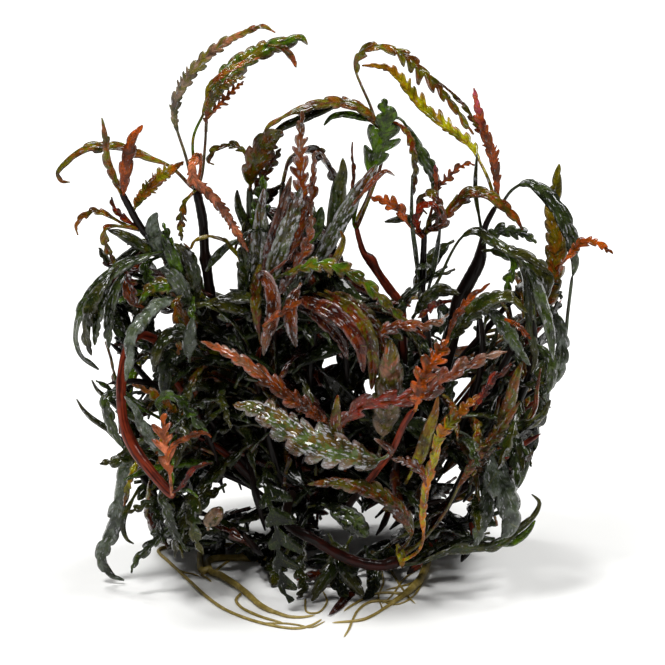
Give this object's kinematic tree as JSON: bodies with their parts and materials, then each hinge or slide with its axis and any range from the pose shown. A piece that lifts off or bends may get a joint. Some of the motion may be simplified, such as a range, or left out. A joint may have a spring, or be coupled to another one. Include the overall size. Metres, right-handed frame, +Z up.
{
  "type": "aquarium plant",
  "caption": "Free clump of an aquarium plant with lobed arching leaves, jointed stems and bare roots, resting on its low leaves.",
  "frame": {"origin": "on the ground under the middle of the clump's box", "axes": "+Z up, +X to the right as seen from the front, +Y to the back"},
  "size_m": [0.1659, 0.1189, 0.178],
  "materials": {
    "dark_stem": "wet and smooth, nearly black",
    "red_stem": "wet and smooth, dark red",
    "green_stem": "smooth grey-green",
    "root": "bare olive-yellow root skin",
    "green_leaf": "wet gloss, deep green",
    "dark_leaf": "wet gloss, almost black green",
    "olive_leaf": "wet gloss, olive",
    "yellow_leaf": "satin yellow-olive",
    "bronze_leaf": "wet gloss, bronze brown",
    "red_leaf": "wet gloss, maroon",
    "orange_leaf": "satin orange red"
  },
  "bodies": {
    "root": {"stem_left_tall": "dark_stem", "stem_left_outer": "dark_stem", "stem_left_red": "red_stem", "stem_centre_left": "green_stem", "stem_centre_front": "dark_stem", "stem_centre": "red_stem", "stem_centre_right": "dark_stem", "stem_right": "dark_stem", "stem_front": "red_stem", "stem_back": "green_stem", "runner_front": "red_stem", "runner_back": "red_stem", "stalk_right": "green_stem", "root_left_thin": "root", "root_left_thick": "root", "root_front": "root", "root_right": "root", "leaf_left_arch": "olive_leaf", "leaf_left_upright": "olive_leaf", "leaf_left_red": "red_leaf", "leaf_left_toothed": "yellow_leaf", "leaf_top_left_tall": "orange_leaf", "leaf_top_left_green": "green_leaf", "leaf_left_salmon": "orange_leaf", "leaf_left_silver": "dark_leaf", "leaf_left_hanging": "dark_leaf", "leaf_left_tree": "orange_leaf", "leaf_centre_arch": "olive_leaf", "leaf_centre_broad": "dark_leaf", "leaf_centre_red": "bronze_leaf", "leaf_oak_lobed": "green_leaf", "leaf_centre_green_arch": "green_leaf", "leaf_centre_hanging": "bronze_leaf", "leaf_top_right_arch": "dark_leaf", "leaf_top_right_serrated": "yellow_leaf", "leaf_top_right_pink": "orange_leaf", "leaf_right_brown_arch": "bronze_leaf", "leaf_right_droop": "dark_leaf", "leaf_right_upright": "olive_leaf", "leaf_right_tip_orange": "orange_leaf", "leaf_right_dark_arch": "dark_leaf", "leaf_right_long": "olive_leaf", "leaf_right_broad": "dark_leaf", "leaf_right_low": "green_leaf", "leaf_front_orange": "orange_leaf", "leaf_front_patterned": "olive_leaf", "leaf_front_low": "olive_leaf", "leaf_front_red": "red_leaf", "leaf_front_bright": "orange_leaf", "leaf_front_tree": "yellow_leaf", "leaf_low_hanging": "green_leaf", "leaf_back_left_arch": "green_leaf", "leaf_back_right_arch": "olive_leaf", "leaf_back_tall": "bronze_leaf", "foliage_low": "dark_leaf", "foliage_left": "dark_leaf", "foliage_centre": "bronze_leaf", "foliage_right": "dark_leaf", "foliage_back_left": "green_leaf", "foliage_back_right": "green_leaf"}
  },
  "joints": []
}
